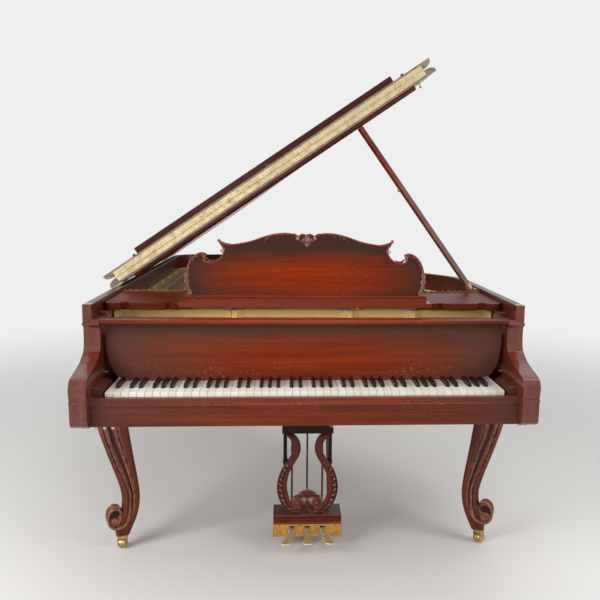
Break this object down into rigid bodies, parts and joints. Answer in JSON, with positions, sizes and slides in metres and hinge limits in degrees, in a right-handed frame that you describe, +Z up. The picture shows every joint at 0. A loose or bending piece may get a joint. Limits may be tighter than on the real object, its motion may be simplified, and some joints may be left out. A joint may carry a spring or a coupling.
{
  "type": "grand_piano",
  "caption": "Grand piano with S-curved arms, carved cabriole legs on casters, scrolled lyre with pedals, serpentine music desk and a propped lid with a folded front flap",
  "frame": {"origin": "middle of the overall footprint, on the floor", "axes": "+X to the treble side, +Y from the keyboard to the tail, +Z up"},
  "size_m": [1.519, 2.3134, 1.8499],
  "materials": {
    "mahogany": "polished red-brown mahogany",
    "beech": "plain pale hardwood, satin",
    "spruce": "varnished pale softwood",
    "ivory": "worn ivory",
    "ebony": "black satin hardwood",
    "gold_iron": "cast iron painted gold",
    "brass": "aged brass"
  },
  "bodies": {
    "case": {"rim": "mahogany", "inner_rim": "beech", "arm_left": "mahogany", "arm_right": "mahogany", "keybed": "mahogany", "key_slip": "mahogany", "key_block_left": "mahogany", "key_block_right": "mahogany", "nameboard_rail": "mahogany", "pin_block": "beech", "case_braces": "beech", "soundboard": "spruce", "cast_plate": "gold_iron", "bass_bridge": "beech", "treble_bridge": "beech", "side_hinge_front": "brass", "side_hinge_rear": "brass", "prop_bracket": "brass", "leg_front_left": "mahogany", "leg_front_right": "mahogany", "leg_rear": "mahogany", "lyre_top_block": "mahogany", "lyre_scrolls": "mahogany", "pedal_box": "mahogany", "pedal_plate": "brass", "lyre_brace_left": "brass", "lyre_brace_right": "brass"},
    "lid": {"lid_main": "mahogany", "hinge_leaf_main": "brass"},
    "flap": {"lid_flap": "mahogany", "hinge_leaf_flap": "brass"},
    "prop": {"prop_stick": "mahogany"},
    "fallboard": {"fallboard": "mahogany"},
    "shelf": {"music_shelf": "mahogany"},
    "desk": {"music_desk": "mahogany"},
    "strut": {"desk_strut": "mahogany"},
    "keys": {"natural_keys": "ivory", "sharp_keys": "ebony", "hammer_rack": "beech"},
    "dampers": {"damper_rack": "ebony"},
    "key_c4": {"key_c4": "ivory"},
    "key_c4_sharp": {"key_c4_sharp": "ebony"},
    "key_d4": {"key_d4": "ivory"},
    "key_d4_sharp": {"key_d4_sharp": "ebony"},
    "key_e4": {"key_e4": "ivory"},
    "pedal_left": {"pedal_left": "brass"},
    "rod_left": {"pedal_rod_left": "brass"},
    "trap_left": {"trap_lever_left": "beech"},
    "pedal_centre": {"pedal_centre": "brass"},
    "rod_centre": {"pedal_rod_centre": "brass"},
    "trap_centre": {"trap_lever_centre": "beech"},
    "pedal_right": {"pedal_right": "brass"},
    "rod_right": {"pedal_rod_right": "brass"},
    "trap_right": {"trap_lever_right": "beech"},
    "fork_front_left": {"caster_fork_front_left": "brass"},
    "wheel_front_left": {"caster_wheel_front_left": "brass"},
    "fork_front_right": {"caster_fork_front_right": "brass"},
    "wheel_front_right": {"caster_wheel_front_right": "brass"},
    "fork_rear": {"caster_fork_rear": "brass"},
    "wheel_rear": {"caster_wheel_rear": "brass"}
  },
  "joints": [
    {"name": "lid_hinge", "type": "hinge", "parent": "case", "child": "lid", "pos_m": [-0.705, 0.11675, 0.985], "axis": [0, -1, 0], "range_deg": [0, 12]},
    {"name": "flap_hinge", "type": "hinge", "parent": "lid", "child": "flap", "pos_m": [-0.13184, -0.44565, 1.39585], "axis": [0.8265, 0, 0.5629], "range_deg": [0, 180]},
    {"name": "prop_hinge", "type": "hinge", "parent": "case", "child": "prop", "pos_m": [0.6535, -0.46525, 0.954], "axis": [-0.7683, -0.377, -0.5173], "range_deg": [0, 72]},
    {"name": "fallboard_hinge", "type": "hinge", "parent": "case", "child": "fallboard", "pos_m": [0, -0.92675, 0.747], "axis": [1, 0, 0], "range_deg": [0, 88]},
    {"name": "shelf_slide", "type": "slide", "parent": "case", "child": "shelf", "axis": [0, -1, 0], "range_m": [0, 0.08]},
    {"name": "desk_hinge", "type": "hinge", "parent": "shelf", "child": "desk", "pos_m": [0, -0.81325, 0.9675], "axis": [-1, 0, 0], "range_deg": [0, 75]},
    {"name": "strut_hinge", "type": "hinge", "parent": "desk", "child": "strut", "pos_m": [0, -0.78106, 1.07636], "axis": [1, 0, 0], "range_deg": [0, 135]},
    {"name": "keyboard_shift", "type": "slide", "parent": "case", "child": "keys", "axis": [1, 0, 0], "range_m": [0, 0.003]},
    {"name": "damper_lift", "type": "slide", "parent": "case", "child": "dampers", "axis": [0, 0, 1], "range_m": [0, 0.0055]},
    {"name": "key_c4_press", "type": "hinge", "parent": "keys", "child": "key_c4", "pos_m": [0, -0.86325, 0.7032], "axis": [1, 0, 0], "range_deg": [0, 2.6], "stiffness_Nm_per_rad": 1.5, "springref_deg": -3.44},
    {"name": "key_c4_sharp_press", "type": "hinge", "parent": "keys", "child": "key_c4_sharp", "pos_m": [0, -0.86325, 0.7032], "axis": [1, 0, 0], "range_deg": [0, 2.6], "stiffness_Nm_per_rad": 1.5, "springref_deg": -3.44},
    {"name": "key_d4_press", "type": "hinge", "parent": "keys", "child": "key_d4", "pos_m": [0, -0.86325, 0.7032], "axis": [1, 0, 0], "range_deg": [0, 2.6], "stiffness_Nm_per_rad": 1.5, "springref_deg": -3.44},
    {"name": "key_d4_sharp_press", "type": "hinge", "parent": "keys", "child": "key_d4_sharp", "pos_m": [0, -0.86325, 0.7032], "axis": [1, 0, 0], "range_deg": [0, 2.6], "stiffness_Nm_per_rad": 1.5, "springref_deg": -3.44},
    {"name": "key_e4_press", "type": "hinge", "parent": "keys", "child": "key_e4", "pos_m": [0, -0.86325, 0.7032], "axis": [1, 0, 0], "range_deg": [0, 2.6], "stiffness_Nm_per_rad": 1.5, "springref_deg": -3.44},
    {"name": "pedal_left_press", "type": "hinge", "parent": "case", "child": "pedal_left", "pos_m": [-0.0415, -0.61325, 0.082], "axis": [1, 0, 0], "range_deg": [0, 5.5], "stiffness_Nm_per_rad": 20, "springref_deg": -5.73},
    {"name": "rod_left_rise", "type": "slide", "parent": "case", "child": "rod_left", "axis": [0, 0, 1], "range_m": [0, 0.0042]},
    {"name": "trap_left_tilt", "type": "hinge", "parent": "case", "child": "trap_left", "pos_m": [-0.0415, -0.52725, 0.598], "axis": [-1, 0, 0], "range_deg": [0, 5.4]},
    {"name": "pedal_centre_press", "type": "hinge", "parent": "case", "child": "pedal_centre", "pos_m": [0.016, -0.61325, 0.082], "axis": [1, 0, 0], "range_deg": [0, 5.5], "stiffness_Nm_per_rad": 20, "springref_deg": -5.73},
    {"name": "rod_centre_rise", "type": "slide", "parent": "case", "child": "rod_centre", "axis": [0, 0, 1], "range_m": [0, 0.0042]},
    {"name": "trap_centre_tilt", "type": "hinge", "parent": "case", "child": "trap_centre", "pos_m": [0.016, -0.52725, 0.598], "axis": [-1, 0, 0], "range_deg": [0, 5.4]},
    {"name": "pedal_right_press", "type": "hinge", "parent": "case", "child": "pedal_right", "pos_m": [0.0735, -0.61325, 0.082], "axis": [1, 0, 0], "range_deg": [0, 5.5], "stiffness_Nm_per_rad": 20, "springref_deg": -5.73},
    {"name": "rod_right_rise", "type": "slide", "parent": "case", "child": "rod_right", "axis": [0, 0, 1], "range_m": [0, 0.0042]},
    {"name": "trap_right_tilt", "type": "hinge", "parent": "case", "child": "trap_right", "pos_m": [0.0735, -0.52725, 0.598], "axis": [-1, 0, 0], "range_deg": [0, 5.4]},
    {"name": "swivel_front_left", "type": "hinge", "parent": "case", "child": "fork_front_left", "pos_m": [-0.6724, -0.61255, 0.0575], "axis": [0, 0, 1], "continuous": true},
    {"name": "roll_front_left", "type": "hinge", "parent": "fork_front_left", "child": "wheel_front_left", "pos_m": [-0.6724, -0.60255, 0.019], "axis": [-1, 0, 0], "continuous": true},
    {"name": "swivel_front_right", "type": "hinge", "parent": "case", "child": "fork_front_right", "pos_m": [0.6724, -0.61255, 0.0575], "axis": [0, 0, 1], "continuous": true},
    {"name": "roll_front_right", "type": "hinge", "parent": "fork_front_right", "child": "wheel_front_right", "pos_m": [0.68006, -0.60612, 0.019], "axis": [-0.6428, 0.766, 0], "continuous": true},
    {"name": "swivel_rear", "type": "hinge", "parent": "case", "child": "fork_rear", "pos_m": [-0.36, 0.91675, 0.0575], "axis": [0, 0, 1], "continuous": true},
    {"name": "roll_rear", "type": "hinge", "parent": "fork_rear", "child": "wheel_rear", "pos_m": [-0.355, 0.92541, 0.019], "axis": [-0.866, 0.5, 0], "continuous": true}
  ],
  "couplings": [
    {"joint": "rod_left_rise", "follows": "keyboard_shift", "ratio": 1.344},
    {"joint": "trap_left_tilt", "follows": "keyboard_shift", "rad_per_m": 30.544},
    {"joint": "rod_centre_rise", "follows": "pedal_centre_press", "m_per_rad": 0.042},
    {"joint": "trap_centre_tilt", "follows": "pedal_centre_press", "ratio": 0.9545},
    {"joint": "rod_right_rise", "follows": "pedal_right_press", "m_per_rad": 0.042},
    {"joint": "trap_right_tilt", "follows": "pedal_right_press", "ratio": 0.9545},
    {"joint": "pedal_left_press", "follows": "keyboard_shift", "rad_per_m": 32},
    {"joint": "damper_lift", "follows": "pedal_right_press", "m_per_rad": 0.057},
    {"joint": "strut_hinge", "follows": "desk_hinge", "ratio": 1.8}
  ]
}
